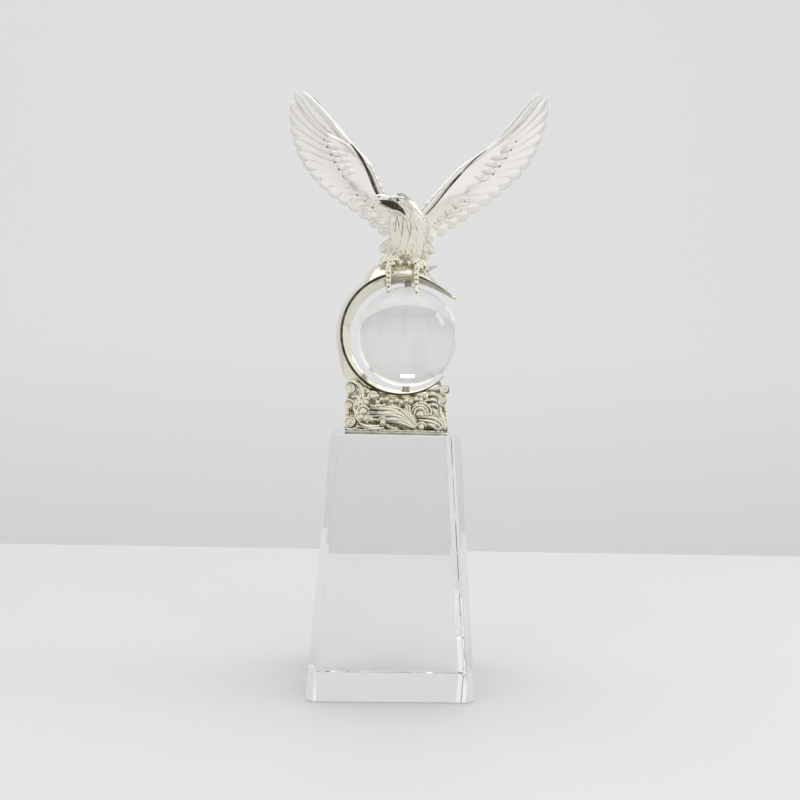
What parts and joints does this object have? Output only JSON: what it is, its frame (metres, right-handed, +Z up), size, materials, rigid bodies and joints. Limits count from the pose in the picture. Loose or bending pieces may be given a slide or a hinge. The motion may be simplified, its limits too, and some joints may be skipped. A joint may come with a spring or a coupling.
{
  "type": "eagle trophy",
  "caption": "Award trophy: an eagle with raised wings stands on a plated crescent that holds a clear ball above cast waves and a tapered crystal plinth.",
  "frame": {"origin": "middle of the plinth's flat underside", "axes": "+Z up through the eagle, -Y towards the front that the picture shows, +X to the viewer's right"},
  "size_m": [0.1345, 0.08, 0.2985],
  "materials": {
    "crystal": "polished clear optical crystal",
    "champagne_plate": "bright pale champagne plating on cast alloy",
    "silver_plate": "bright warm silver plating on cast alloy"
  },
  "bodies": {
    "root": {"crystal_plinth": "crystal", "crystal_ball": "crystal", "wave_crescent_stand": "champagne_plate", "eagle": "silver_plate"}
  },
  "joints": []
}
